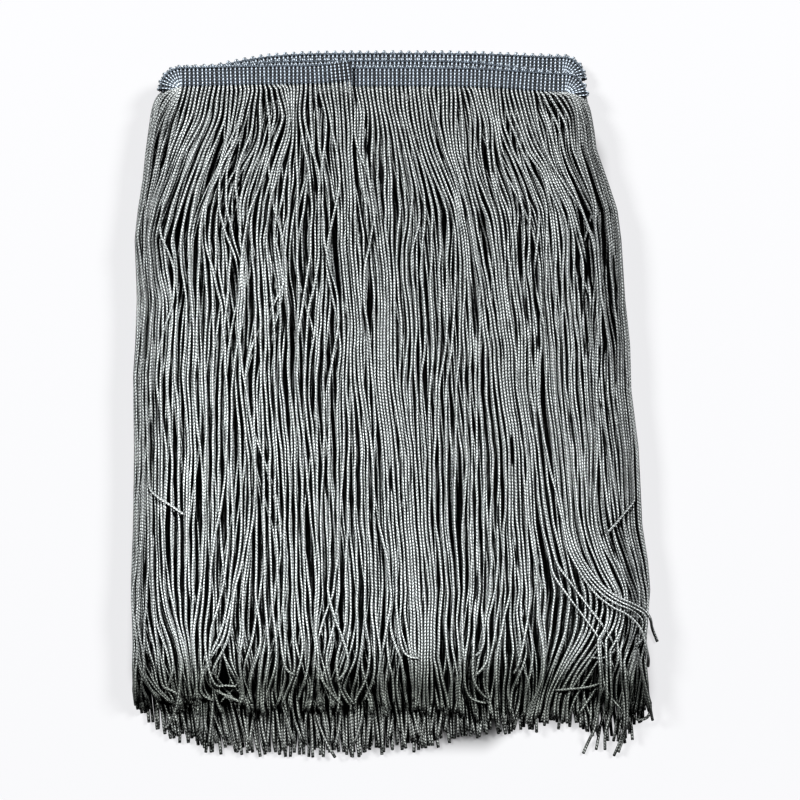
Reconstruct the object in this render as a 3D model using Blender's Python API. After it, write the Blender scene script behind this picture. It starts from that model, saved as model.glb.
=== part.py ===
"""Tassel fringe trim, folded back and forth into a flat pile and lying on a surface.

One knitted heading tape runs to and fro in six layers, the last of them a part layer that ends in
a cut. A chainette fringe is knitted into the tape's lower edge all the way along. Each layer of
fringe is a narrow strip, parted from the tape's edge, with the strands fused to it as locks.

Metres. +Z is up, +X runs along the heading and +Y points from the strand tips to the heading. The
origin is the middle of the pile's footprint, on the surface that it rests on.
"""

import math

import bmesh
import bpy
from mathutils import Matrix, Vector

# Heading tape
TAPE_DEPTH = 0.0084
TAPE_THICKNESS = 0.0011
TAPE_EDGE_Y = 0.1446
RIB_PITCH = 0.00182
RIB_HEIGHT = 0.0003
PICOT_HEIGHT = 0.0004
LAYER_PITCH = 0.0024
CORNER_RADIUS = 0.0095
CORNER_TURN = math.radians(86)
CORNER_STEPS = 6
FOLD_STEPS = 6

# Fringe
PARTING = 0.0003
STRIP_DEPTH = 0.0014
LOCK_WIDTH = 0.0023
LOCK_THICKNESS = 0.0015
TIP_WIDTH = 0.0019
TIP_THICKNESS = 0.0012
TIP_UNEVENNESS = 0.0024

# Each layer of the pile, from the one on the surface up. left and right are the ends of its run,
# rise is how far the middle of its tape bows up past the left end, lift is how far the right end
# lies above the left one, and tips is where its strands end.
LAYERS = (
    {"name": "fringe_1", "left": -0.0990, "right": 0.0815, "rise": 0.0030, "lift": 0.0020, "tips": -0.1506},
    {"name": "fringe_2", "left": -0.0990, "right": 0.0830, "rise": 0.0050, "lift": 0.0056, "tips": -0.1500},
    {"name": "fringe_3", "left": -0.0980, "right": 0.0830, "rise": 0.0072, "lift": 0.0056, "tips": -0.1484},
    {"name": "fringe_4", "left": -0.0980, "right": 0.0835, "rise": 0.0038, "lift": -0.0022, "tips": -0.1404},
    {"name": "fringe_5", "left": -0.1000, "right": 0.0835, "rise": 0.0004, "lift": -0.0022, "tips": -0.1362},
    {"name": "fringe_6", "left": -0.1000, "right": -0.0178, "rise": 0.0010, "lift": 0.0000, "tips": -0.1342},
)
LAST = len(LAYERS) - 1

# Cross sections of the pile below the heading: where its left and right sides are, and how far
# apart its layers lie.
SECTIONS = (
    {"y": 0.1345, "left": -0.0900, "right": 0.0740, "pitch": 0.00240},
    {"y": 0.1220, "left": -0.1010, "right": 0.0845, "pitch": 0.00250},
    {"y": 0.0940, "left": -0.1062, "right": 0.0925, "pitch": 0.00270},
    {"y": 0.0420, "left": -0.1090, "right": 0.1005, "pitch": 0.00280},
    {"y": -0.1120, "left": -0.1110, "right": 0.1085, "pitch": 0.00250},
    {"y": -0.1520, "left": -0.1070, "right": 0.1055, "pitch": 0.00180},
)
# How far the tips at the two sides of the pile fall short of those in its middle
SIDE_SHORTFALL = 0.010

# Strands sway from side to side on their way down, and lie over the gaps of the layer below.
SWAY = 0.0022
SWAYS_ACROSS = 2.3
SWAY_LENGTH = 0.160
STAGGER = 0.0018


def clear_scene():
    for obj in list(bpy.data.objects):
        bpy.data.objects.remove(obj)


def new_collection(name):
    collection = bpy.data.collections.new(name)
    bpy.context.scene.collection.children.link(collection)
    return collection


def new_material(name, colour, roughness):
    material = bpy.data.materials.new(name)
    material.use_nodes = True
    shader = material.node_tree.nodes["Principled BSDF"]
    shader.inputs["Base Color"].default_value = (*colour, 1.0)
    shader.inputs["Roughness"].default_value = roughness
    shader.inputs["Metallic"].default_value = 0.0
    return material


def add_object(name, bm, material, collection):
    mesh = bpy.data.meshes.new(name)
    bm.to_mesh(mesh)
    bm.free()
    mesh.materials.append(material)
    obj = bpy.data.objects.new(name, mesh)
    collection.objects.link(obj)
    return obj


def strip_block(columns):
    """A closed strip of unit cells, whose vertices then take their places by column, row and side."""
    bm = bmesh.new()
    bmesh.ops.create_grid(bm, x_segments=columns - 1, y_segments=1, size=1.0)
    raised = bmesh.ops.extrude_face_region(bm, geom=bm.faces[:])["geom"]
    upper = [item for item in raised if isinstance(item, bmesh.types.BMVert)]
    bmesh.ops.translate(bm, verts=upper, vec=(0, 0, 1))
    return bm


def place_in_strip(vert, columns):
    """The column of a vertex of a strip block, its row (0 upper edge, 1 lower) and side (0 or 1)."""
    return round((vert.co.x + 1) / 2 * (columns - 1)), int(vert.co.y < 0), int(vert.co.z > 0.5)


def section_value(y, column):
    """A column of SECTIONS at y, in straight lines between its rows."""
    for upper, lower in zip(SECTIONS, SECTIONS[1:]):
        if y >= lower["y"]:
            share = min(max((upper["y"] - y) / (upper["y"] - lower["y"]), 0.0), 1.0)
            return upper[column] + (lower[column] - upper[column]) * share
    return SECTIONS[-1][column]


def straight_ends(level):
    """The x where a layer's straight run starts and ends. It turns a corner before it folds."""
    reach = CORNER_RADIUS * math.sin(CORNER_TURN)
    cut_on_the_right = level in (0, LAST)
    return LAYERS[level]["left"] + reach, LAYERS[level]["right"] - (0 if cut_on_the_right else reach)


def rib_stations(level):
    """The x of each valley and crest along a layer's straight run. Every second one is a crest."""
    left, right = straight_ends(level)
    pairs = round((right - left) / (2 * RIB_PITCH))
    return [left + (right - left) * i / (2 * pairs) for i in range(2 * pairs + 1)]


def share_of_run(level, x):
    """How far along its layer's run a point lies, from 0 to 1. The part layer lies on the one below it."""
    left, right = straight_ends(LAST - 1 if level == LAST else level)
    return (x - left) / (right - left)


def tape_edge(level, x):
    """A point of the tape's upper edge on a layer's straight run, and the way across the tape there."""

    def edge_y(at):
        off_middle = max(-1.0, min(2 * share_of_run(level, at) - 1, 1.0))
        end = LAYERS[level]["lift"] if off_middle > 0 else 0
        return TAPE_EDGE_Y + end + (LAYERS[level]["rise"] - end) * (1 - off_middle**4) ** 2

    slope = (edge_y(x + RIB_PITCH) - edge_y(x - RIB_PITCH)) / (2 * RIB_PITCH)
    return Vector((x, edge_y(x), 0)), Vector((slope, -1, 0)).normalized()


def corner(start, side):
    """Edge points and ways across the tape where it turns down towards the fold at one side."""
    points = []
    for step in range(1, CORNER_STEPS + 1):
        turn = CORNER_TURN * step / CORNER_STEPS
        along = Vector((side * math.sin(turn), math.cos(turn) - 1, 0))
        across = Vector((-side * math.sin(turn), -math.cos(turn), 0))
        points.append((start + CORNER_RADIUS * along, across))
    return points


def run(level):
    """One layer of the tape from left to right, as edge points and ways across."""
    points = [tape_edge(level, x) for x in rib_stations(level)]
    left_corner = corner(points[0][0], -1)[::-1]
    right_corner = corner(points[-1][0], 1) if 0 < level < LAST else []
    return left_corner + points + right_corner


def fold(edge, across, level):
    """The half turn that carries the tape from the end of one layer up to the start of the next."""
    outward = Vector((-across.y, across.x, 0)) * math.copysign(1, -across.x)
    rows = []
    for step in range(1, FOLD_STEPS):
        angle = math.pi * step / FOLD_STEPS
        normal = math.cos(angle) * Vector((0, 0, -1)) + math.sin(angle) * outward
        height = (level + 0.5) * LAYER_PITCH + TAPE_THICKNESS / 2
        middle = edge + Vector((0, 0, height)) + normal * LAYER_PITCH / 2
        rows.append({"middle": middle, "across": across, "outer": normal, "crest": False})
    return rows


def heading_path():
    """The tape from its cut end on the surface to its cut end on top of the pile. A row's outer is the
    way that the tape's one side faces there: down on the first layer, and the other way on each next."""
    path = []
    for level in range(len(LAYERS)):
        points = run(level) if level % 2 else run(level)[::-1]
        height = Vector((0, 0, level * LAYER_PITCH + TAPE_THICKNESS / 2))
        outer = Vector((0, 0, 1 if level % 2 else -1))
        for i, (edge, across) in enumerate(points):
            path.append({"middle": edge + height, "across": across, "outer": outer, "crest": i % 2 == 1})
        if level < LAST:
            path += fold(points[-1][0], points[-1][1], level)
    return path


def make_heading(material, collection):
    """The folded tape, with a rib and a picot at each crest. Its ribs stand on the side that faces up."""
    path = heading_path()
    bm = strip_block(len(path))
    for vert in bm.verts:
        column, row, side = place_in_strip(vert, len(path))
        place = path[column]
        facing = place["outer"] * (1 if side else -1)
        depth = TAPE_DEPTH if row else -PICOT_HEIGHT * place["crest"]
        rib = RIB_HEIGHT if place["crest"] and facing.z > 0.5 else 0
        vert.co = place["middle"] + place["across"] * depth + facing * (TAPE_THICKNESS / 2 + rib)
    bmesh.ops.recalc_face_normals(bm, faces=bm.faces[:])
    return add_object("heading", bm, material, collection)


def lane_x(share, y, level):
    """Where a strand lies at y, if its root is at that share of its layer's run."""
    left, right = section_value(y, "left"), section_value(y, "right")
    sway = SWAY * math.sin(math.tau * (share * SWAYS_ACROSS + y / SWAY_LENGTH + level / len(LAYERS)))
    return left + (right - left) * share + sway + STAGGER * (level % 2 - 0.5)


def strand_stations(level, column, root):
    """Points down the middle of one strand, from its root to its tip, each with its width and thickness."""
    share = share_of_run(level, root.x)
    uneven = (math.sin(column * 2.4 + level) + math.sin(column * 0.93 + 2 * level)) / 2
    tip_y = LAYERS[level]["tips"] + TIP_UNEVENNESS * uneven + SIDE_SHORTFALL * abs(2 * share - 1) ** 6
    stations = [(root, LOCK_WIDTH, LOCK_THICKNESS)]
    bends = [section["y"] for section in SECTIONS[1:-1]]
    for y in (*bends, tip_y):
        width, thickness = (TIP_WIDTH, TIP_THICKNESS) if y == tip_y else (LOCK_WIDTH, LOCK_THICKNESS)
        height = level * section_value(y, "pitch") + thickness / 2
        stations.append((Vector((lane_x(share, y, level), y, height)), width, thickness))
    return stations


def grow_strand(bm, root_face, level, column):
    """Draws one strand out of a face of the strip, a ring at a time."""
    root = root_face.calc_center_median()
    stations = strand_stations(level, column, root)
    places = {}
    for vert in root_face.verts:
        places[vert] = math.copysign(1, vert.co.x - root.x), math.copysign(1, vert.co.z - root.z)
    face = root_face
    for i in range(1, len(stations)):
        centre, width, thickness = stations[i]
        ahead = stations[min(i + 1, len(stations) - 1)][0] - stations[i - 1][0]
        side = Vector((-ahead.y, ahead.x, 0)).normalized()
        before = [(v.co.copy(), place) for v, place in places.items()]
        face = bmesh.ops.extrude_discrete_faces(bm, faces=[face])["faces"][0]
        places = {}
        for vert in face.verts:
            _, place = min(before, key=lambda pair: (pair[0] - vert.co).length)
            places[vert] = place
            vert.co = centre + side * place[0] * width / 2 + Vector((0, 0, place[1] * thickness / 2))


def make_fringe(level, material, collection):
    """One layer of fringe: the strip along the tape's lower edge, with a strand below each crest."""
    columns = []
    for crest in rib_stations(level)[1::2]:
        columns += [crest - LOCK_WIDTH / 2, crest + LOCK_WIDTH / 2]
    bm = strip_block(len(columns))
    for vert in bm.verts:
        column, row, side = place_in_strip(vert, len(columns))
        edge, across = tape_edge(level, columns[column])
        depth = TAPE_DEPTH + PARTING + STRIP_DEPTH * row
        vert.co = edge + across * depth + Vector((0, 0, level * LAYER_PITCH + LOCK_THICKNESS * side))
    bmesh.ops.recalc_face_normals(bm, faces=bm.faces[:])

    rim = [face for face in bm.faces if face.normal.y < -0.7]
    rim.sort(key=lambda face: face.calc_center_median().x)
    for column, face in enumerate(rim[::2]):
        grow_strand(bm, face, level, column)
    bmesh.ops.recalc_face_normals(bm, faces=bm.faces[:])
    return add_object(LAYERS[level]["name"], bm, material, collection)


def centre_footprint(objects):
    """Moves the pile over its surface until the origin is the middle of its footprint."""
    points = [vert.co for obj in objects for vert in obj.data.vertices]
    middle_x = (min(p.x for p in points) + max(p.x for p in points)) / 2
    middle_y = (min(p.y for p in points) + max(p.y for p in points)) / 2
    for obj in objects:
        obj.data.transform(Matrix.Translation((-middle_x, -middle_y, 0)))


def main():
    clear_scene()
    collection = new_collection("Tassel fringe trim")
    heading_yarn = new_material("Heading yarn", (0.155, 0.180, 0.210), 0.85)
    chainette_yarn = new_material("Chainette yarn", (0.225, 0.235, 0.235), 0.55)
    objects = [make_heading(heading_yarn, collection)]
    for level in range(len(LAYERS)):
        objects.append(make_fringe(level, chainette_yarn, collection))
    centre_footprint(objects)


main()
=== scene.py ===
"""Looks of a tassel fringe trim: a knitted heading with a chainette fringe, folded back and forth into
a flat pile, seen from straight above on a white surface. Lengths are in millimetres until a mesh is
made. X runs along the heading and Y from the strand tips to the heading, as in the solids."""

import math

import bmesh
import bpy
import numpy as np
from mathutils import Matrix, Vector


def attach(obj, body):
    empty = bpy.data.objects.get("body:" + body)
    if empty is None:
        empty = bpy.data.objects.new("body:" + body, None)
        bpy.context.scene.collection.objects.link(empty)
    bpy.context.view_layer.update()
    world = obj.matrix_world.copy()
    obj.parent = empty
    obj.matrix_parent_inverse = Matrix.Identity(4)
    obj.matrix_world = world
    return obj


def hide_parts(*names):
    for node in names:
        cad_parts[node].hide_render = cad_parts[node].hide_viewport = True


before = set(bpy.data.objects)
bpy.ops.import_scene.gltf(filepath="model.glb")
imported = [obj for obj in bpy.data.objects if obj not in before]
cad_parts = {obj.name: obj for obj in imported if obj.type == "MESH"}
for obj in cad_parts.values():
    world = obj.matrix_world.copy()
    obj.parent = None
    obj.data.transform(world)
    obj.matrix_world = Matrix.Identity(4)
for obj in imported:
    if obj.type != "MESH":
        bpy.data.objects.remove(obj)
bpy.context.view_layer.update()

# ------------------------------------------------------------------------------------------------
# Heading ribs. The heading is a narrow tape of spun yarn, knitted sideways: the fringe yarn goes up one
# rib, round a small picot and down the next, and the warp rows pinch each rib into beads. The tape is
# folded back and forth, and the ribs stand along its course from one cut end to the other.

RIB_PITCH = 1.78
ROW_PITCH = 1.4
ROW_DEPTHS = 0.85 + ROW_PITCH * np.arange(6)
RIB_FOOT = 8.6
BEAD_RADIUS = 0.61
PINCH_RADIUS = 0.34
# A picot's points from one rib to the next: how far along the gap and how far above the ribs each is,
# as shares of the gap and of the picot's height, and how thick the yarn is there. It starts and ends
# inside the ribs.
PICOT = (
    (-0.78, None, 0.42), (-0.48, 0.3, 0.42), (-0.2, 1, 0.46),
    (0.2, 1, 0.46), (0.48, 0.3, 0.42), (0.78, None, 0.42),
)
PICOT_INSIDE = -0.35

# The pile's runs, from the one on the surface up. rise is how far a run bows up past its left end, and
# lift is how far its right end lies above the left one.
RUNS = (
    {"left": -99.0, "right": 81.5, "rise": 3.0, "lift": 2.0},
    {"left": -99.0, "right": 83.0, "rise": 5.0, "lift": 5.6},
    {"left": -98.0, "right": 83.0, "rise": 7.2, "lift": 5.6},
    {"left": -98.0, "right": 83.5, "rise": 3.8, "lift": -2.2},
    {"left": -100.0, "right": 83.5, "rise": 0.4, "lift": -2.2},
    {"left": -100.0, "right": -17.8, "rise": 1.0, "lift": 0.0},
)
TOP = len(RUNS) - 1
TAPE_EDGE_Y = 144.6
LOWEST_MIDDLE = 0.55
LAYER_PITCH = 2.4
CORNER_RADIUS = 9.5
CORNER_TURN = math.radians(86)
# The top run lifts a little more towards its cut end, from LAST_LIFT_FROM on.
LAST_LIFT = 1.5
LAST_LIFT_FROM, LAST_LIFT_LENGTH = -42, 24
# Brings the middle of the pile's footprint to the origin, as in the solids.
FOOTPRINT_SHIFT = (1.684, 0.155)


def run_ends(k):
    """The x where the straight part of a run starts and ends."""
    reach = CORNER_RADIUS * math.sin(CORNER_TURN)
    return RUNS[k]["left"] + reach, RUNS[k]["right"] - (0 if k in (0, TOP) else reach)


def run_course(k):
    """A run from left to right, as rows of x, y, z, the way across the tape and its outer side."""
    left, right = run_ends(k)
    whole_left, whole_right = run_ends(TOP - 1 if k == TOP else k)
    x = np.linspace(left, right, 400)
    off_middle = np.clip(2 * (x - whole_left) / (whole_right - whole_left) - 1, -1, 1)
    end = np.where(off_middle > 0, RUNS[k]["lift"], 0)
    y = TAPE_EDGE_Y + end + (RUNS[k]["rise"] - end) * (1 - off_middle**4) ** 2
    if k == TOP:
        y += LAST_LIFT * np.clip((x - LAST_LIFT_FROM) / LAST_LIFT_LENGTH, 0, 1) ** 2
    slope = np.gradient(y, x)
    straight = np.c_[x, y, slope / np.hypot(slope, 1), -1 / np.hypot(slope, 1)]
    turn = np.linspace(0, CORNER_TURN, 30)[1:]
    sine, cosine = np.sin(turn), np.cos(turn)
    start, end = straight[0], straight[-1]
    fall = CORNER_RADIUS * (cosine - 1)
    before = np.c_[start[0] - CORNER_RADIUS * sine, start[1] + fall, sine, -cosine]
    after = np.c_[end[0] + CORNER_RADIUS * sine, end[1] + fall, -sine, -cosine]
    flat = np.vstack([before[::-1], straight] + ([after] if 0 < k < TOP else []))
    height = np.full(len(flat), k * LAYER_PITCH + LOWEST_MIDDLE)
    facing = np.zeros((len(flat), 3))
    facing[:, 2] = 1 if k % 2 else -1
    return np.c_[flat[:, :2], height, flat[:, 2:], np.zeros(len(flat)), facing]


course = []
for k in range(len(RUNS)):
    rows = run_course(k) if k % 2 else run_course(k)[::-1]
    course.append(rows)
    if k < TOP:
        edge, across = rows[-1, :3], rows[-1, 3:6]
        outward = np.array([-across[1], across[0], 0]) * math.copysign(1, -across[0])
        half_turn = []
        for angle in np.linspace(0, math.pi, 14)[1:-1]:
            facing = math.sin(angle) * outward + np.array([0, 0, -math.cos(angle)])
            middle = edge + np.array([0, 0, LAYER_PITCH / 2]) + facing * LAYER_PITCH / 2
            half_turn.append(np.r_[middle, across, facing])
        course.append(np.array(half_turn))
course = np.vstack(course)
course[:, 0] += FOOTPRINT_SHIFT[0]
course[:, 1] += FOOTPRINT_SHIFT[1]
walked = np.r_[0, np.cumsum(np.linalg.norm(np.diff(course[:, :3], axis=0), axis=1))]


def tape_at(distance):
    """The tape's edge points, ways across and outer sides at distances along its course."""
    place = np.column_stack([np.interp(distance, walked, column) for column in course.T])
    across = place[:, 3:6] / np.linalg.norm(place[:, 3:6], axis=1)[:, None]
    facing = place[:, 6:9] / np.linalg.norm(place[:, 6:9], axis=1)[:, None]
    return place[:, :3], across, facing


def link(obj):
    bpy.context.scene.collection.objects.link(obj)
    return obj


def tubes(name, paths, radii, resolution, stitches, twists=None):
    """One mesh of round tubes along paths, with flat cut ends. Its UV map runs in stitches along a tube
    and in turns around it."""
    curve = bpy.data.curves.new(name, "CURVE")
    curve.dimensions = "3D"
    curve.bevel_depth = 0.001
    curve.bevel_resolution = resolution
    sides = 4 + 2 * resolution
    for path, radius in zip(paths, radii):
        spline = curve.splines.new("POLY")
        spline.points.add(len(path) - 1)
        spline.points.foreach_set("co", np.c_[path / 1000, np.ones(len(path))].ravel())
        spline.points.foreach_set("radius", np.broadcast_to(radius, len(path)).astype(float))
    drawn = link(bpy.data.objects.new(name, curve))
    mesh = bpy.data.meshes.new_from_object(drawn, depsgraph=bpy.context.evaluated_depsgraph_get())
    bpy.data.objects.remove(drawn)
    bpy.data.curves.remove(curve)

    along = np.repeat(np.concatenate(stitches), sides)
    vert = np.empty(len(mesh.loops), int)
    mesh.loops.foreach_get("vertex_index", vert)
    uv = np.empty(len(mesh.loops) * 2)
    layer = mesh.uv_layers[0]
    layer.data.foreach_get("uv", uv)
    uv = uv.reshape(-1, 2)
    uv[:, 0] = along[vert]
    if twists is not None:
        uv[:, 1] += np.repeat(np.concatenate(twists), sides)[vert]
    layer.data.foreach_set("uv", uv.ravel())

    bm = bmesh.new()
    bm.from_mesh(mesh)
    for face in bm.faces:
        face.smooth = True
    rims = [edge for edge in bm.edges if edge.is_boundary]
    ends = bmesh.ops.holes_fill(bm, edges=rims, sides=sides)
    for face in ends["faces"]:
        face.smooth = False
    bmesh.ops.recalc_face_normals(bm, faces=bm.faces[:])
    bm.to_mesh(mesh)
    bm.free()
    mesh.name = name
    return link(bpy.data.objects.new(name, mesh))


rng = np.random.default_rng(4)
rib_count = int((walked[-1] - 1.0) // (2 * RIB_PITCH)) * 2
rib_distance = (walked[-1] - rib_count * RIB_PITCH) / 2 + (np.arange(rib_count) + 0.5) * RIB_PITCH
rib_distance += rng.normal(0, 0.07, rib_count)
rib_edge, rib_across, rib_facing = tape_at(rib_distance)
rib_along = np.cross(rib_across, rib_facing)
rib_lean = rng.normal(0, 0.012, rib_count)

bead_depths = np.append(np.arange(ROW_DEPTHS[0], ROW_DEPTHS[-1] + 0.1, ROW_PITCH / 2), RIB_FOOT)
bead_radii = np.where(np.arange(len(bead_depths)) % 2 == 0, PINCH_RADIUS, BEAD_RADIUS)
rib_paths, rib_radii, rib_stitches = [], [], []
for pair in range(rib_count // 2):
    path = []
    for j, order in ((2 * pair, -1), (2 * pair + 1, 1)):
        depth = bead_depths[::order][:, None]
        lean = rib_along[j] * rib_lean[j] * (depth - 4)
        path.append(rib_edge[j] + rib_across[j] * depth + lean)
    gap = rib_edge[2 * pair + 1] - rib_edge[2 * pair]
    middle = (rib_edge[2 * pair + 1] + rib_edge[2 * pair]) / 2
    picot_height = rng.uniform(0.45, 0.7)
    picot = []
    for side, rise, _ in PICOT:
        rise = PICOT_INSIDE if rise is None else rise * picot_height
        picot.append(middle + gap * side / 2 - rib_across[2 * pair] * rise)
    rib_paths.append(np.vstack([path[0], picot, path[1]]))
    rib_radii.append(np.r_[bead_radii[::-1], [radius for _, _, radius in PICOT], bead_radii])
    # Stitches fall on the beads, and two more go into the turn.
    up = (bead_depths[-1] - bead_depths[::-1]) / ROW_PITCH
    turn = up[-1] + np.array([0.5, 0.8, 1.0, 1.2, 1.5, 1.7])
    down = up[-1] + 2 + (bead_depths - bead_depths[0]) / ROW_PITCH
    rib_stitches.append(np.r_[up, turn, down] - (up[-1] % 1))
heading_ribs = tubes("heading_ribs", rib_paths, rib_radii, 1, rib_stitches)


def new_material(name):
    material = bpy.data.materials.new(name)
    material.use_nodes = True
    nodes = material.node_tree.nodes
    return material, nodes, material.node_tree.links, nodes["Principled BSDF"]


def maths(nodes, links, operation, first, second=None, third=None):
    """A math node. Each input is a number or another node's output."""
    node = nodes.new("ShaderNodeMath")
    node.operation = operation
    for socket, value in zip(node.inputs, (first, second, third)):
        if isinstance(value, (int, float)):
            socket.default_value = value
        elif value is not None:
            links.new(value, socket)
    return node.outputs[0]


def chain_stitch_group():
    """Columns of loops around a knitted cord, from its UV map. The loops lean left and right in turn,
    each column a share of a stitch after the last. Height is 0 between two loops and 1 on top of one."""
    group = bpy.data.node_groups.new("Chain_stitches", "ShaderNodeTree")
    group.interface.new_socket("Columns", in_out="INPUT", socket_type="NodeSocketFloat")
    group.interface.new_socket("Slant", in_out="INPUT", socket_type="NodeSocketFloat")
    group.interface.new_socket("Offset", in_out="INPUT", socket_type="NodeSocketFloat")
    group.interface.new_socket("Height", in_out="OUTPUT", socket_type="NodeSocketFloat")
    nodes, links = group.nodes, group.links
    given = nodes.new("NodeGroupInput")
    result = nodes.new("NodeGroupOutput")
    uv = nodes.new("ShaderNodeUVMap")
    uv.uv_map = "UVMap"
    split = nodes.new("ShaderNodeSeparateXYZ")
    links.new(uv.outputs[0], split.inputs[0])
    around = maths(nodes, links, "MULTIPLY", split.outputs[1], given.outputs["Columns"])
    column = maths(nodes, links, "FLOOR", around)
    within = maths(nodes, links, "SUBTRACT", maths(nodes, links, "FRACT", around), 0.5)
    odd = maths(nodes, links, "PINGPONG", column, 1.0)
    side = maths(nodes, links, "MULTIPLY_ADD", odd, -2.0, 1.0)
    lean = maths(nodes, links, "MULTIPLY", within, side)
    lean = maths(nodes, links, "MULTIPLY", lean, given.outputs["Slant"])
    after = maths(nodes, links, "MULTIPLY_ADD", odd, given.outputs["Offset"], lean)
    stitch = maths(nodes, links, "FRACT", maths(nodes, links, "ADD", split.outputs[0], after))
    loop = maths(nodes, links, "SINE", maths(nodes, links, "MULTIPLY", stitch, math.pi))
    loop = maths(nodes, links, "POWER", loop, 0.9)
    across = maths(nodes, links, "COSINE", maths(nodes, links, "MULTIPLY", within, math.pi))
    across = maths(nodes, links, "POWER", across, 0.5)
    links.new(maths(nodes, links, "MULTIPLY", loop, across), result.inputs["Height"])
    return group


chain_stitches = chain_stitch_group()


def yarn_material(name, dark, light, columns, slant, offset, relief, roughness):
    """Knitted yarn: stitches in relief, with painted shade in the hollows between them and on the cord's
    flanks, where it turns away from both the sky and the eye, and a slow random drift of tone. Relief is
    in metres."""
    material, nodes, links, shader = new_material(name)
    stitches = nodes.new("ShaderNodeGroup")
    stitches.node_tree = chain_stitches
    stitches.inputs["Columns"].default_value = columns
    stitches.inputs["Slant"].default_value = slant
    stitches.inputs["Offset"].default_value = offset
    place = nodes.new("ShaderNodeTexCoord")
    cloud = nodes.new("ShaderNodeTexNoise")
    cloud.inputs["Scale"].default_value = 260.0
    cloud.inputs["Detail"].default_value = 2.0
    links.new(place.outputs["Object"], cloud.inputs["Vector"])
    # Painted shade: the hollows between loops take the near-black dark colour, the loops' tops the light
    # one.
    shade = nodes.new("ShaderNodeMix")
    shade.data_type = "RGBA"
    shade.inputs[6].default_value = (*dark, 1)
    shade.inputs[7].default_value = (*light, 1)
    links.new(stitches.outputs["Height"], shade.inputs[0])
    level = nodes.new("ShaderNodeMapRange")
    level.inputs["From Min"].default_value = 0.3
    level.inputs["From Max"].default_value = 0.7
    level.inputs["To Min"].default_value = 0.82
    level.inputs["To Max"].default_value = 1.1
    links.new(cloud.outputs["Fac"], level.inputs["Value"])
    drift = nodes.new("ShaderNodeMix")
    drift.data_type = "RGBA"
    drift.blend_type = "MULTIPLY"
    drift.inputs[0].default_value = 1.0
    links.new(shade.outputs[2], drift.inputs[6])
    # Painted shade: the colour darkens on the cord's flanks, where it turns away from both the sky and the
    # eye.
    weight = nodes.new("ShaderNodeLayerWeight")
    weight.inputs["Blend"].default_value = 0.5
    surface = nodes.new("ShaderNodeNewGeometry")
    normal = nodes.new("ShaderNodeSeparateXYZ")
    links.new(surface.outputs["Normal"], normal.inputs[0])
    level_with = maths(nodes, links, "SUBTRACT", 1.0, maths(nodes, links, "ABSOLUTE", normal.outputs[2]))
    turned = maths(nodes, links, "MINIMUM", weight.outputs["Facing"], level_with)
    painted_flank_shade = maths(nodes, links, "MULTIPLY_ADD", maths(nodes, links, "POWER", turned, 1.15), -0.98, 1.0)
    painted_flank_shade = maths(nodes, links, "MAXIMUM", painted_flank_shade, 0.45)
    links.new(maths(nodes, links, "MULTIPLY", level.outputs[0], painted_flank_shade), drift.inputs[7])
    links.new(drift.outputs[2], shader.inputs["Base Color"])
    bump = nodes.new("ShaderNodeBump")
    bump.inputs["Strength"].default_value = 1.0
    bump.inputs["Distance"].default_value = relief
    links.new(stitches.outputs["Height"], bump.inputs["Height"])
    links.new(bump.outputs[0], shader.inputs["Normal"])
    shader.inputs["Roughness"].default_value = roughness
    shader.inputs["Specular IOR Level"].default_value = 0.5
    return material


def dress(obj, material, node):
    """Gives a piece its material, hangs it under the root body and hides the solid that it stands for."""
    obj.data.materials.clear()
    obj.data.materials.append(material)
    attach(obj, "root")
    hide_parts(node)


heading_yarn = yarn_material(
    "Heading_yarn", dark=(0.003, 0.004, 0.005), light=(0.256, 0.284, 0.314),
    columns=4, slant=0.0, offset=0.0, relief=0.00022, roughness=0.6,
)
dress(heading_ribs, heading_yarn, "heading")

# ------------------------------------------------------------------------------------------------
# Heading rows. Fine warp threads chain the ribs together. One on each face of the tape rides over every
# rib and dips between two, row below row, and they end in the ribs.

ROW_RADIUS = 0.13
OVER_RIB = 0.42
BETWEEN_RIBS = 0.10
PICOT_THREAD_RADIUS = 0.15
row_paths, row_radii = [], []
# The rows end four ribs before the cut end on top, where the last ribs come loose.
tied = rib_distance[: rib_count - 4]
spots = np.empty(2 * len(tied) - 1)
spots[0::2] = tied
spots[1::2] = (tied[1:] + tied[:-1]) / 2
edge, across, facing = tape_at(spots)
lift = np.where(np.arange(len(spots)) % 2 == 0, OVER_RIB, BETWEEN_RIBS)[:, None]
for depth in ROW_DEPTHS:
    for face in (-1, 1):
        sag = rng.normal(0, 0.05, len(spots))[:, None]
        row_paths.append(edge + across * (depth + sag) + facing * face * lift)
        row_radii.append(ROW_RADIUS)
# Two more threads cross between the picots on each face.
edge, across, facing = tape_at(tied)
for side in (0.5, -0.5):
    for face in (-1, 1):
        swing = np.where(np.arange(len(tied)) % 2 == 0, 0.6 + side, 0.6 - side)[:, None]
        row_paths.append(edge + across * swing + facing * face * OVER_RIB)
        row_radii.append(PICOT_THREAD_RADIUS)


def run_out(path):
    """How far along a path each of its points is."""
    return np.r_[0, np.cumsum(np.linalg.norm(np.diff(path, axis=0), axis=1))]


row_stitches = [run_out(path) / 0.5 for path in row_paths]
heading_rows = tubes("heading_rows", row_paths, row_radii, 0, row_stitches)
warp_thread = yarn_material(
    "Warp_thread", dark=(0.012, 0.015, 0.019), light=(0.17, 0.20, 0.235),
    columns=2, slant=1.0, offset=0.0, relief=0.00008, roughness=0.7,
)
dress(heading_rows, warp_thread, "heading")

# ------------------------------------------------------------------------------------------------
# Heading ground. The thin knitted tape that the ribs and rows stand on, of the same spun yarn. It shows
# only as the ground between them, coloured nearly black as painted shade in the gaps, and is folded with
# them as one sheet.

GROUND_COLUMNS = 1099
GROUND_INSET = 0.2
GROUND_DEPTH = 7.9
GROUND_THICKNESS = 0.22

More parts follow.
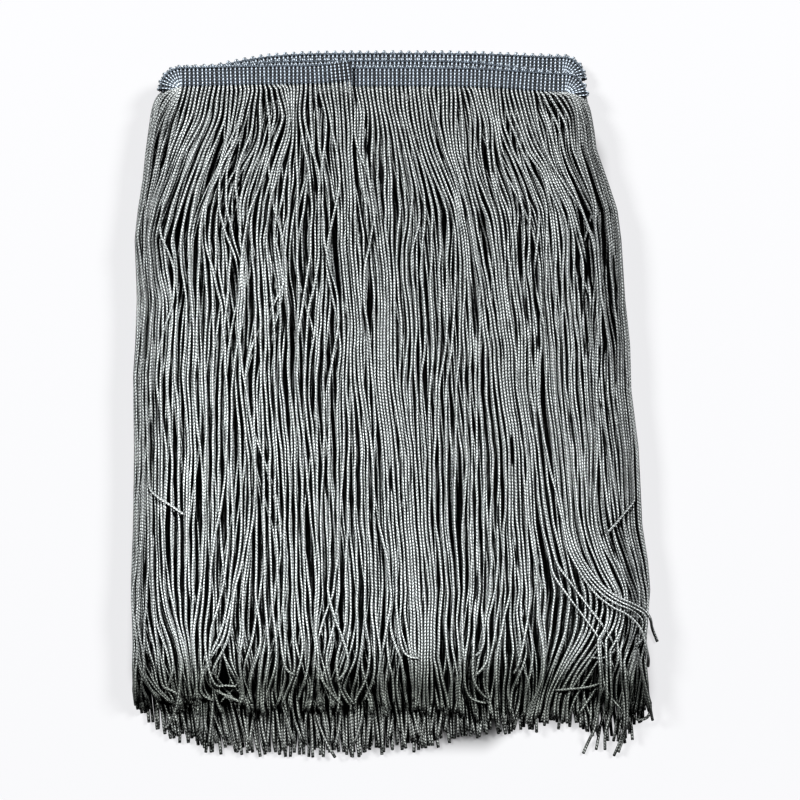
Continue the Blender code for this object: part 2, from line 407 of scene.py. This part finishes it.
course_spots = np.linspace(GROUND_INSET, walked[-1] - GROUND_INSET, GROUND_COLUMNS + 1)
ground_edge, ground_across, _ = tape_at(course_spots)
bm = bmesh.new()
bmesh.ops.create_grid(bm, x_segments=GROUND_COLUMNS, y_segments=2, size=1.0)
for vert in bm.verts:
    column = round((vert.co.x + 1) / 2 * GROUND_COLUMNS)
    depth = GROUND_INSET + GROUND_DEPTH * (1 - vert.co.y) / 2
    vert.co = Vector((ground_edge[column] + ground_across[column] * depth) / 1000)
ground_mesh = bpy.data.meshes.new("heading_ground")
bm.to_mesh(ground_mesh)
bm.free()
ground_mesh.uv_layers.new(name="UVMap")
heading_ground = link(bpy.data.objects.new("heading_ground", ground_mesh))
thicken = heading_ground.modifiers.new("Thickness", "SOLIDIFY")
thicken.thickness = GROUND_THICKNESS / 1000
thicken.offset = 0
# Painted shade: the ground is coloured nearly black, darker than its yarn, for the shade between ribs and
# rows.
ground_shade_yarn = yarn_material(
    "Heading_ground_shade", dark=(0.004, 0.005, 0.006), light=(0.014, 0.016, 0.019),
    columns=1, slant=0.0, offset=0.0, relief=0.00010, roughness=0.9,
)
dress(heading_ground, ground_shade_yarn, "heading")

# ------------------------------------------------------------------------------------------------
# Fringe. Strands of chainette, a thin chain-knitted cord, hang from the ribs that they are knitted into
# and are cut at the foot. They are laid one by one, from the surface up, on a height map of what lies
# there already, so that they rest on, beside and across each other.

STRAND_RADIUS = 0.54
STITCH = 1.38
ROOT_DEPTH = 8.5
# The pile's left and right sides, as rows of y and x.
LEFT_SIDE = (
    (143.0, -97.0), (135.2, -100.1), (122.3, -101.9), (109.4, -103.6), (96.5, -104.9), (83.6, -107.0),
    (70.7, -108.3), (44.9, -107.5), (25.5, -108.3), (12.6, -109.2), (-19.6, -108.7), (-51.9, -109.2),
    (-77.7, -110.0), (-103.5, -109.2), (-122.8, -110.0), (-153.0, -107.0),
)
RIGHT_SIDE = (
    (143.0, 83.0), (135.2, 84.8), (122.3, 87.3), (109.4, 88.8), (96.5, 93.4), (83.6, 97.7), (70.7, 99.4),
    (44.9, 101.1), (25.5, 103.2), (6.2, 103.7), (-19.6, 107.0), (-52.0, 108.6), (-68.0, 111.0),
    (-80.0, 111.8), (-92.0, 110.4), (-109.9, 109.8), (-153.0, 110.0),
)
# Where a strand ends up between those sides, by the share of the heading that lies left of its root.
LANES = (
    (0, 0), (0.084, 0.023), (0.152, 0.068), (0.243, 0.188), (0.333, 0.313), (0.447, 0.472), (0.561, 0.594),
    (0.629, 0.667), (0.788, 0.855), (0.879, 0.948), (0.931, 0.986), (1, 1),
)
# Where the tips of the lower and of the front layers lie, as rows of x and y.
LOWER_TIPS = (
    (-108.0, -133.2), (-98.0, -143.5), (-87.0, -145.7), (-79.0, -148.7), (-68.0, -150.8),
    (-13.0, -151.6), (5.0, -148.7), (18.0, -147.4), (31.0, -144.4), (48.0, -143.5), (56.0, -140.9),
    (65.0, -137.6), (82.0, -137.6), (86.0, -142.7), (93.0, -145.2), (101.0, -146.2),
    (106.0, -141.7), (112.0, -133.2),
)
FRONT_TIPS = (
    (-106.0, -129.0), (-82.0, -128.4), (-66.0, -131.4), (-22.0, -131.4), (0.0, -130.4), (16.0, -130.6),
    (38.0, -133.6), (54.0, -134.8), (74.0, -135.6), (95.0, -135.0), (108.0, -131.5),
)
# Each layer's tips beyond those lines, how uneven they are, how high its bed lies, how far apart the
# rings of its cords are, how far it follows the lanes, how freely its strands wander and how far they
# are set off from the lanes, in strands. The two lowest lie evenly and cover each other's gaps.
FRINGES = (
    {"tips": 0.0, "uneven": 1.5, "bed": 0.0, "rings": 3.3, "follows": 0.0, "wander": 0.0, "offset": 0.0},
    {"tips": 0.5, "uneven": 1.5, "bed": 2.2, "rings": 3.3, "follows": 0.0, "wander": 0.0, "offset": 0.5},
    {"tips": 2.5, "uneven": 2.0, "bed": 5.4, "rings": 3.3, "follows": 0.3, "wander": 0.5, "offset": 0.3},
    {"tips": -2.5, "uneven": 1.8, "bed": 7.4, "rings": 2.6, "follows": 0.7, "wander": 0.8, "offset": 0.0},
    {"tips": 0.0, "uneven": 1.6, "bed": 8.2, "rings": 2.4, "follows": 1.0, "wander": 1.0, "offset": 0.0},
    {"tips": 1.0, "uneven": 1.6, "bed": 9.0, "rings": 2.4, "follows": 1.0, "wander": 1.0, "offset": 0.0},
)
# Where bundles swing aside, as x and y in the 800-pixel picture, half width, half height and swing.
SWINGS = (
    (242, 140, 20, 38, 12), (278, 122, 14, 40, 8), (214, 205, 25, 50, -8), (560, 112, 16, 34, 10),
    (430, 130, 8, 44, -3), (470, 118, 7, 40, 3), (505, 152, 9, 48, -4), (540, 190, 9, 54, 4),
    (482, 235, 10, 60, -4), (578, 262, 10, 50, -4), (450, 200, 9, 54, 3), (160, 240, 12, 46, -6),
    (164, 730, 24, 66, 25), (213, 730, 12, 62, -15), (230, 730, 9, 60, 22), (282, 730, 15, 70, -10),
    (362, 735, 16, 62, 18), (402, 700, 10, 45, 8), (470, 720, 10, 60, -8), (507, 690, 8, 60, -6),
    (532, 665, 9, 40, 7), (578, 735, 24, 72, -30), (598, 620, 40, 52, 26),
)
# Strands that leave their neighbours, as a layer and the places in the picture that they run through.
STRAYS = (
    (4, (556, 560), (570, 582), (588, 606), (606, 630), (618, 652), (628, 676)),
    (4, (552, 570), (568, 596), (586, 620), (604, 646), (614, 668)),
    (4, (622, 600), (622, 624), (618, 641), (613, 652), (604, 658), (592, 658)),
    (4, (396, 600), (399, 632), (403, 650), (410, 657), (418, 658)),
    (5, (205, 640), (209, 668), (216, 685), (226, 686), (236, 687)),
    (5, (281, 640), (284, 662), (288, 671), (295, 675)),
    (5, (328, 590), (334, 615), (341, 634), (347, 652), (348, 664), (344, 673), (338, 681)),
    (4, (470, 600), (469, 632), (465, 660), (465, 684), (470, 698), (480, 703), (486, 704)),
    (4, (482, 610), (484, 638), (480, 652), (472, 657)),
    (4, (488, 620), (488, 656), (483, 668), (475, 676)),
    (4, (474, 640), (473, 676), (480, 692), (488, 700)),
    (4, (616, 630), (618, 660), (610, 678), (592, 687), (570, 690), (556, 691)),
    (4, (600, 640), (604, 682), (613, 700), (624, 712), (632, 726), (634, 742)),
    (4, (644, 650), (648, 690), (652, 706), (650, 718), (640, 722), (634, 716)),
    (4, (638, 650), (645, 688), (651, 704)),
    (4, (640, 660), (648, 698), (654, 722)),
    (4, (598, 640), (601, 690), (597, 725), (591, 742), (585, 757)),
    (4, (606, 640), (607, 700), (602, 730), (598, 753)),
    (4, (610, 650), (612, 705), (607, 735), (607, 753)),
    (4, (620, 650), (625, 715), (623, 738), (616, 759)),
    (4, (624, 660), (628, 710), (626, 735), (620, 755)),
    (4, (517, 610), (521, 650), (519, 664), (514, 674)),
    (4, (530, 600), (524, 640), (517, 668)),
    (5, (158, 650), (162, 684), (172, 691), (180, 696)),
    (5, (182, 660), (178, 700), (170, 722), (163, 731)),
    (5, (138, 500), (137, 560), (133, 600), (138, 646), (136, 675), (135, 702)),
    (5, (150, 488), (158, 497), (172, 506), (185, 515)),
    (4, (575, 541), (589, 569), (605, 588), (620, 598), (634, 604), (646, 612), (653, 627), (660, 644)),
    (4, (572, 541), (586, 570), (603, 590), (619, 601), (633, 607), (645, 616), (643, 636), (634, 645)),
    (4, (569, 541), (583, 571), (600, 592), (617, 604), (632, 610), (642, 620), (640, 634)),
    (4, (566, 541), (580, 572), (597, 595), (614, 608), (628, 615), (640, 628), (646, 650), (650, 668)),
    (4, (634, 500), (624, 513), (616, 523), (607, 533)),
)
# A strand bends to its place between the sides within BEND_LENGTH of its root, and lies no nearer to
# its neighbour than CLOSEST. It takes ROOT_RUN to come from its rib's height to the pile's. It sinks
# into others above LAYER_ROOM over its layer's bed, and a stray one presses in by STRAY_PRESS.
BEND_LENGTH = 66
CLOSEST = 1.32
ROOT_RUN = 14
LAYER_ROOM = 1.4
STRAY_PRESS = 0.25
# The height map has square cells from MAP_LOW on.
CELL = 0.25
MAP_LOW = np.array([-130.0, -170.0])
pile_top = np.zeros((int(340 / CELL), int(260 / CELL)))
reach = int(STRAND_RADIUS // CELL)
disc = [(i, j) for i in range(-reach, reach + 1) for j in range(-reach, reach + 1)]
disc = [(i, j) for i, j in disc if (i * i + j * j) * CELL**2 < STRAND_RADIUS**2]
disc_rows, disc_columns = np.array(disc).T
dome = np.sqrt(STRAND_RADIUS**2 - (disc_rows**2 + disc_columns**2) * CELL**2)


def ripples(rng, across, down, count=9):
    """A smooth random field over strand numbers and distances, of about unit size."""
    pace = 1 / rng.uniform(*across, count)
    drift = rng.uniform(-1, 1, count) / down
    phase = rng.uniform(0, math.tau, count)

    def field(number, y):
        waves = 0
        for i in range(count):
            waves = waves + np.sin(math.tau * (pace[i] * number + drift[i] * y) + phase[i])
        return waves / math.sqrt(count / 2)

    return field


def waver(rng, y, shortest, longest, count=3):
    """One smooth random curve along y, of about unit size."""
    lengths = rng.uniform(shortest, longest, count)
    phases = rng.random(count)
    waves = sum(np.sin(math.tau * (y / length + phase)) for length, phase in zip(lengths, phases))
    return waves / math.sqrt(count / 2)


def side_by_side(x, spacing):
    """Moves the strands of a layer apart where they would share a place. Rows go from left to right."""
    forward, backward = x.copy(), x.copy()
    for i in range(1, len(x)):
        forward[i] = np.maximum(forward[i], forward[i - 1] + spacing[i])
    for i in range(len(x) - 2, -1, -1):
        backward[i] = np.minimum(backward[i], backward[i + 1] - spacing[i + 1])
    return (forward + backward) / 2


def eased(share):
    share = np.clip(share, 0, 1)
    return share * share * (3 - 2 * share)


def evenly(path, step):
    """The same path with points at most step apart."""
    reached = run_out(path)
    spots = np.linspace(0, reached[-1], max(4, int(math.ceil(reached[-1] / step)) + 1))
    return np.column_stack([np.interp(spots, reached, column) for column in path.T])


def smoothed(values, half):
    """Values along a strand, raised to their neighbours' height and then rounded off."""
    padded = np.pad(values, half, mode="edge")
    raised = np.lib.stride_tricks.sliding_window_view(padded, 2 * half + 1).max(axis=1)
    kernel = np.hanning(2 * half + 3)[1:-1]
    return np.convolve(np.pad(raised, half, mode="edge"), kernel / kernel.sum(), mode="valid")


def lay(path, root_height, loft, stray, sink):
    """Rests a strand on the pile, adds it to the height map and returns its points in space. Strands
    that pile up sink into those below, and strays lie on top."""
    rows = ((path[:, 1] - MAP_LOW[1]) / CELL).astype(int)
    columns = ((path[:, 0] - MAP_LOW[0]) / CELL).astype(int)
    near = pile_top[rows[:, None] + disc_rows, columns[:, None] + disc_columns] + dome
    bed = STRAND_RADIUS + (0 if stray else loft)
    height = np.maximum(near.max(axis=1) - (STRAY_PRESS if stray else 0), bed)
    if not stray:
        ceiling = bed + LAYER_ROOM
        height = np.where(height > ceiling, ceiling + sink * (height - ceiling), height)
    height = smoothed(height, 5)
    height = root_height + (height - root_height) * eased(run_out(path) / ROOT_RUN)
    np.maximum.at(
        pile_top, (rows[:, None] + disc_rows, columns[:, None] + disc_columns), height[:, None] + dome
    )
    return np.c_[path, height]


# The photograph's side in pixels, its scale, and the pixel that the footprint's middle is laid out from.
PICTURE_SIZE = 800
MM_PER_PIXEL = 0.43
PILE_MIDDLE = (392.5, 404)


def photo_point(x, y):
    """A point of the pile by its place in the 800-pixel picture."""
    across, up = (x - PILE_MIDDLE[0]) * MM_PER_PIXEL, (PILE_MIDDLE[1] - y) * MM_PER_PIXEL
    return np.array([across + FOOTPRINT_SHIFT[0], up + FOOTPRINT_SHIFT[1]])


def through(places):
    """A smooth run through places. It starts straight down and is straight at its end."""
    first = np.linalg.norm(places[1] - places[0])
    ends = np.vstack([places[0] + [0, first], places, 2 * places[-1] - places[-2]])
    run = []
    for a, b, c, d in zip(ends, ends[1:], ends[2:], ends[3:]):
        for t in np.arange(0, 1, 0.1):
            bent = (c - a) * t + (2 * a - 5 * b + 4 * c - d) * t**2 + (3 * b - a - 3 * c + d) * t**3
            run.append(0.5 * (2 * b + bent))
    return np.vstack([run, places[-1:]])


layer_of_rib = np.clip(np.round((rib_edge[:, 2] - LOWEST_MIDDLE) / LAYER_PITCH), 0, TOP).astype(int)
levels = np.linspace(143, -153, 297)
left_side, right_side = (
    np.interp(-levels, [-y for y, x in side], [x for y, x in side]) for side in (LEFT_SIDE, RIGHT_SIDE)
)
strands = [[] for _ in FRINGES]
for k, fringe in enumerate(FRINGES):
    rng = np.random.default_rng(100 + k)
    mine = np.flatnonzero(layer_of_rib == k)
    if k % 2 == 0:
        mine = mine[::-1]
    whole = len(np.flatnonzero(layer_of_rib == (TOP - 1 if k == TOP else k)))
    number = np.arange(len(mine))
    share = (number + 0.5) / whole
    edge = np.abs(2 * share - 1)
    root = rib_edge[mine] + rib_across[mine] * ROOT_DEPTH
    drop = np.clip(root[:, 1:2] - levels, 0, None)

    # Where each strand is bound for, between the pile's sides.
    if k == 0:
        slots = len(mine)
    if k < 2:
        place = np.floor(number * slots / len(mine)) + 0.5 + fringe["offset"]
        lane = place / slots
        common = np.random.default_rng(7)
    else:
        place = number
        lane = np.interp(share, *np.array(LANES).T) * fringe["follows"] + share * (1 - fringe["follows"])
        common = rng
    goal = left_side + lane[:, None] * (right_side - left_side)
    # It bends there sooner towards the pile's sides.
    splay = 1.7 + 32 * np.clip((edge - 0.84) / 0.16, 0, 1) ** 2.2
    splay = splay + 3 * np.clip((2 * share - 1.7) / 0.2, 0, 1)
    start = 0.6 * np.clip((edge[:, None] - 0.93) / 0.07, 0, 1)
    bent = start + (1 - start) * (1 - (1 - np.clip(drop / BEND_LENGTH, 0, 1)) ** splay[:, None])
    x = root[:, :1] + (goal - root[:, :1]) * bent

    # Neighbours drift together, in waves over a few and over many strands, and gather at the foot.
    inward = np.clip((1 - edge) / 0.10, 0.3, 1)[:, None]
    free = eased(drop / 42) * inward
    wander = fringe["wander"] * free * (0.65 + 0.35 * eased(levels / 60))
    x += 0.5 * wander * ripples(rng, (3.2, 7.0), 110)(number[:, None], levels)
    x += 0.9 * wander * ripples(rng, (8.0, 17.0), 140)(number[:, None], levels)
    upper = eased(drop / 16) * (1 - eased((drop - 55) / 60)) * inward * fringe["wander"]
    x += 1.5 * upper * ripples(rng, (9.0, 22.0), 80)(number[:, None], levels)
    foot = eased((-78 - levels) / 50) * inward * (1.0 if k > 2 else 0.5)
    x += 3.2 * foot * ripples(common, (8.0, 22.0), 70)(place[:, None], levels)
    x += 2.0 * free * ripples(common, (18.0, 45.0), 260, 5)(place[:, None], levels)
    # Each strand wavers a little by itself.
    for i in range(len(mine)):
        x[i] += wander[i] * (0.40 * waver(rng, levels, 40, 120) + 0.12 * waver(rng, levels, 14, 26))
        x[i] += 0.7 * fringe["wander"] * foot[i] * waver(rng, levels, 30, 70)
    apart = np.clip(CLOSEST * drop / 20, 0, CLOSEST) * np.clip((1 - edge) / 0.25, 0.45, 1)[:, None]

    # Some locks of 2 to 6 strands and some single ones cross the rest. The others lie side by side.
    loose = np.zeros(len(mine), bool)
    swing = np.zeros_like(x)
    for _ in range(round(len(mine) / 11)):
        first = rng.integers(3, len(mine) - 8)
        lock = slice(first, first + rng.integers(2, 7))
        loose[lock] = True
        swing[lock] += rng.uniform(1.2, 3.2) * waver(rng, levels, 110, 240, 2)
    for i in np.flatnonzero(rng.random(len(mine)) < 0.14):
        loose[i] = True
        swing[i] += rng.uniform(1.2, 3.0) * waver(rng, levels, 70, 170, 2)
    x[~loose] = side_by_side(x[~loose], apart[~loose])
    x += swing * wander
    if k > 1:
        before = x.copy()
        for swing_x, swing_y, half_width, half_height, aside in SWINGS:
            middle = photo_point(swing_x, swing_y)
            off_x = (before - middle[0]) / (MM_PER_PIXEL * half_width)
            off_y = (levels - middle[1]) / (MM_PER_PIXEL * half_height)
            x += MM_PER_PIXEL * aside * np.exp(-(off_x**2) - off_y**2) * (1.0 if k > 2 else 0.5)

    # What strays past the pile's sides is drawn in.
    x += 0.9 * np.clip(left_side - x, 0, None) - 0.9 * np.clip(x - right_side, 0, None)

    # Tips end unevenly and point a little to either side.
    tip_line = np.array(LOWER_TIPS if k < 3 else FRONT_TIPS)
    tip = np.interp(x[:, -18], *tip_line.T) + fringe["tips"] + rng.normal(0, fringe["uneven"], len(mine))
    splayed = np.clip((tip[:, None] + 18 - levels) / 18, 0, 1) ** 2
    x += splayed * rng.normal(0, 0.7 if k < 2 else 1.5, len(mine))[:, None]
    placed = []
    for i in range(len(mine)):
        seen = (levels < root[i, 1] - 0.4) & (levels > tip[i])
        path = np.c_[np.r_[root[i, 0], x[i, seen]], np.r_[root[i, 1], levels[seen]]]
        placed.append((mine[i], path, False, 0.5 if loose[i] else 0.2))
    # The strand nearest to where a stray one starts is pulled over to it and runs on as that one does.
    taken = set()
    for layer, *places in STRAYS:
        if layer == k:
            places = np.array([photo_point(*place) for place in places])
            start_x, start_y = places[0]
            level = int(np.argmin(np.abs(levels - start_y)))
            free_ones = [i for i in range(len(mine)) if i not in taken]
            i = min(free_ones, key=lambda i: abs(x[i, level] - start_x))
            taken.add(i)
            above = (levels < root[i, 1] - 0.4) & (levels > start_y + 1)
            pull = eased(1 - (levels[above] - start_y) / 40)
            pulled = x[i, above] + (start_x - x[i, level]) * pull
            upper_part = np.c_[np.r_[root[i, 0], pulled], np.r_[root[i, 1], levels[above]]]
            placed[i] = (mine[i], np.vstack([upper_part, through(places)]), len(taken), 0)
    # Loose strands are laid over the others, and strays last.
    order = np.argsort(rng.random(len(mine)) + loose + [2 * stray for _, _, stray, _ in placed])
    strands[k] = [placed[i] for i in order]

# How high the pile stands along its length, as rows of y and a share of its full height. The front
# layers come down to the lower ones at FRONT_DROP.
PILE_FALL = (
    (-150, 0.05), (-136, 0.2), (-127, 0.4), (-116, 0.85), (-108, 1), (60, 1), (136, 1.15),
)
FRONT_DROP = -127.0

chainette = yarn_material(
    "Chainette", dark=(0.040, 0.043, 0.043), light=(0.349, 0.365, 0.364),
    columns=4, slant=0.3, offset=0.25, relief=0.00026, roughness=0.5,
)


def fade(nodes, links, value, near, far, low, high):
    """A smooth change from low to high while a value goes from near to far."""
    node = nodes.new("ShaderNodeMapRange")
    node.interpolation_type = "SMOOTHSTEP"
    for name, number in (("From Min", near), ("From Max", far), ("To Min", low), ("To Max", high)):
        node.inputs[name].default_value = number
    links.new(value, node.inputs["Value"])
    return node.outputs[0]


# Painted shade: towards the cut tips the yarn is darker and a little browner, most over the band where the
# front layers fall away from the lamps onto the lower ones.
nodes, links = chainette.node_tree.nodes, chainette.node_tree.links
shader = nodes["Principled BSDF"]
place = nodes.new("ShaderNodeTexCoord")
split = nodes.new("ShaderNodeSeparateXYZ")
links.new(place.outputs["Object"], split.inputs[0])
tip_shade_ramp = nodes.new("ShaderNodeValToRGB")
tip_shade_ramp.color_ramp.interpolation = "EASE"
for at, *tone in (
    (0.22, 0.47, 0.47, 0.455), (0.40, 0.44, 0.45, 0.42), (0.50, 0.44, 0.45, 0.42), (0.90, 1, 1, 1),
):
    stop = tip_shade_ramp.color_ramp.elements.new(at)
    stop.color = (*tone, 1)
tip_shade_ramp.color_ramp.elements.remove(tip_shade_ramp.color_ramp.elements[0])
tip_shade_ramp.color_ramp.elements.remove(tip_shade_ramp.color_ramp.elements[-1])
down = nodes.new("ShaderNodeMapRange")
down.inputs["From Min"].default_value = -0.154
down.inputs["From Max"].default_value = -0.091
links.new(split.outputs[1], down.inputs["Value"])
links.new(down.outputs[0], tip_shade_ramp.inputs[0])
# The painted shade is multiplied into the yarn's colour.
tip_shaded = nodes.new("ShaderNodeMix")
tip_shaded.data_type = "RGBA"
tip_shaded.blend_type = "MULTIPLY"
tip_shaded.inputs[0].default_value = 1.0
links.new(shader.inputs["Base Color"].links[0].from_socket, tip_shaded.inputs[6])
links.new(tip_shade_ramp.outputs[0], tip_shaded.inputs[7])
# Painted light fall-off and painted shade: the yarn is paler over the pile's lower left, and darker over
# its upper right and within 16 mm of its sides, which draw in towards the heading.
on_x, on_y = split.outputs[0], split.outputs[1]
drawn_in = maths(nodes, links, "MULTIPLY", maths(nodes, links, "MAXIMUM", on_y, 0.045), -0.115)
from_left = maths(nodes, links, "ADD", maths(nodes, links, "ADD", on_x, 0.1137), drawn_in)
to_right = maths(nodes, links, "SUBTRACT", maths(nodes, links, "MULTIPLY_ADD", on_y, -0.07, 0.1097), on_x)
inset = maths(nodes, links, "MINIMUM", from_left, maths(nodes, links, "ADD", to_right, drawn_in))
slanting = maths(nodes, links, "MULTIPLY_ADD", on_y, 0.8, on_x)
painted_falloff_and_side_shade = maths(
    nodes, links, "MULTIPLY",
    fade(nodes, links, inset, 0.0, 0.016, 0.6, 1.0), fade(nodes, links, slanting, -0.17, 0.17, 1.15, 0.79),
)
outer = nodes.new("ShaderNodeMix")
outer.data_type = "RGBA"
outer.blend_type = "MULTIPLY"
outer.inputs[0].default_value = 1.0
links.new(tip_shaded.outputs[2], outer.inputs[6])
links.new(painted_falloff_and_side_shade, outer.inputs[7])
links.new(outer.outputs[2], shader.inputs["Base Color"])

for k, fringe in enumerate(FRINGES):
    rng = np.random.default_rng(200 + k)
    paths, radii, stitches, twists = [], [], [], []
    for j, path, stray, sink in strands[k]:
        path = evenly(path, 0.8)
        fall = np.interp(path[:, 1], *np.array(PILE_FALL).T)
        loft = fringe["bed"] * fall
        if k > 2:
            low = FRINGES[2]["bed"] * fall + 0.8
            loft = np.maximum(loft * eased((path[:, 1] - FRONT_DROP) / 12), low)
        laid = evenly(lay(path, rib_edge[j][2], loft, stray, sink), 1.3 if stray else fringe["rings"])
        # Strands are a little thicker than the height map has them, so neighbours press together.
        radius = STRAND_RADIUS * rng.uniform(1.03, 1.13) * (1.06 if k < 2 else 1.0)
        paths.append(laid)
        to_tip = run_out(laid)[-1] - run_out(laid)
        radii.append(radius * np.interp(to_tip, (0, 3, 15), (1.05, 1.1, 1.0)))
        stitches.append(run_out(laid) / STITCH + rng.random())
        fallen = np.linspace(0, 1, len(laid))
        turned = rng.random() + rng.uniform(-1.2, 1.2) * fallen
        twists.append(turned + 0.12 * np.sin(fallen * rng.uniform(8, 20)))
    cords = tubes(f"fringe_{k + 1}_cords", paths, radii, 1, stitches, twists)
    dress(cords, chainette, f"fringe_{k + 1}")

# ------------------------------------------------------------------------------------------------
# Surface, lamps and camera. The pile lies on a white surface between two lamps, as on a copy stand, with
# the camera straight above it.

bm = bmesh.new()
bmesh.ops.create_grid(bm, x_segments=8, y_segments=8, size=6.0)
floor_mesh = bpy.data.meshes.new("floor")
bm.to_mesh(floor_mesh)
bm.free()
floor = link(bpy.data.objects.new("floor", floor_mesh))
floor.location.z = -0.0002
# The surface glows softly as painted light, in place of lamplight on white paper, and less so towards the
# pile and under it as a painted soft shadow. The pile's outline is narrower at the heading and shorter at
# both lower corners.
paper, nodes, links, shader = new_material("White_surface")
place = nodes.new("ShaderNodeTexCoord")
split = nodes.new("ShaderNodeSeparateXYZ")
links.new(place.outputs["Object"], split.inputs[0])
on_x, on_y = split.outputs[0], split.outputs[1]
# How far a place lies beside the outline, below or above it, and away from it.
middle = maths(nodes, links, "MULTIPLY_ADD", on_y, -0.03, -0.0025)
half = maths(nodes, links, "MULTIPLY_ADD", on_y, -0.06, 0.089)
beside = maths(nodes, links, "ABSOLUTE", maths(nodes, links, "SUBTRACT", on_x, middle))
beside = maths(nodes, links, "MAXIMUM", maths(nodes, links, "SUBTRACT", beside, half), 0.0)
below = maths(nodes, links, "ABSOLUTE", maths(nodes, links, "ADD", on_y, 0.008))
below = maths(nodes, links, "SUBTRACT", below, 0.126)
for near, far, shorter in ((0.040, 0.062, 0.012), (-0.070, -0.108, 0.020)):
    below = maths(nodes, links, "ADD", below, fade(nodes, links, on_x, near, far, 0.0, shorter))
below = maths(nodes, links, "MAXIMUM", below, 0.0)
beside_squared = maths(nodes, links, "POWER", beside, 2.0)
below_squared = maths(nodes, links, "POWER", below, 2.0)
away = maths(nodes, links, "SQRT", maths(nodes, links, "ADD", beside_squared, below_squared))
# Painted light, dimmed near the pile as a painted shadow.
painted_light_and_shadow = fade(nodes, links, away, 0.004, 0.020, 0.03, 0.55)
links.new(painted_light_and_shadow, shader.inputs["Emission Strength"])
shader.inputs["Base Color"].default_value = (0.026, 0.026, 0.026, 1)
shader.inputs["Roughness"].default_value = 0.9
shader.inputs["Emission Color"].default_value = (0.985, 0.985, 1.0, 1)
floor_mesh.materials.append(paper)


def area_light(name, place, aim, size, power):
    lamp = bpy.data.lights.new(name, "AREA")
    lamp.shape = "DISK"
    lamp.size = size
    lamp.energy = power
    obj = link(bpy.data.objects.new(name, lamp))
    obj.location = place
    obj.rotation_euler = (Vector(aim) - Vector(place)).to_track_quat("-Z", "Y").to_euler()
    return obj


LAMP_SIZE = 1.8
LAMP_POWER = 1090.0
for name, side in (("right_lamp", 1), ("left_lamp", -1)):
    area_light(name, (side * 4.3, 2.8, 4.0), (0, 0, 0), LAMP_SIZE, LAMP_POWER)
world = bpy.data.worlds.new("World")
bpy.context.scene.world = world
world.use_nodes = True
world.node_tree.nodes["Background"].inputs["Color"].default_value = (1, 1, 1, 1)
world.node_tree.nodes["Background"].inputs["Strength"].default_value = 0.02
bpy.context.scene.view_settings.view_transform = "Standard"
bpy.context.scene.view_settings.look = "High Contrast"
bpy.context.scene.view_settings.gamma = 0.80

lens = bpy.data.cameras.new("camera")
lens.lens = 100
lens.sensor_width = 36
lens.clip_start = 0.05
lens.clip_end = 10
camera = link(bpy.data.objects.new("camera", lens))
# It looks down on the picture's middle, at the picture's scale at the height of the upper strands.
PILE_TOP = 0.010
picture_width = PICTURE_SIZE * MM_PER_PIXEL / 1000
aim = photo_point(PICTURE_SIZE / 2, PICTURE_SIZE / 2) / 1000
camera.location = (aim[0], aim[1], picture_width * lens.lens / lens.sensor_width + PILE_TOP)
bpy.context.scene.camera = camera
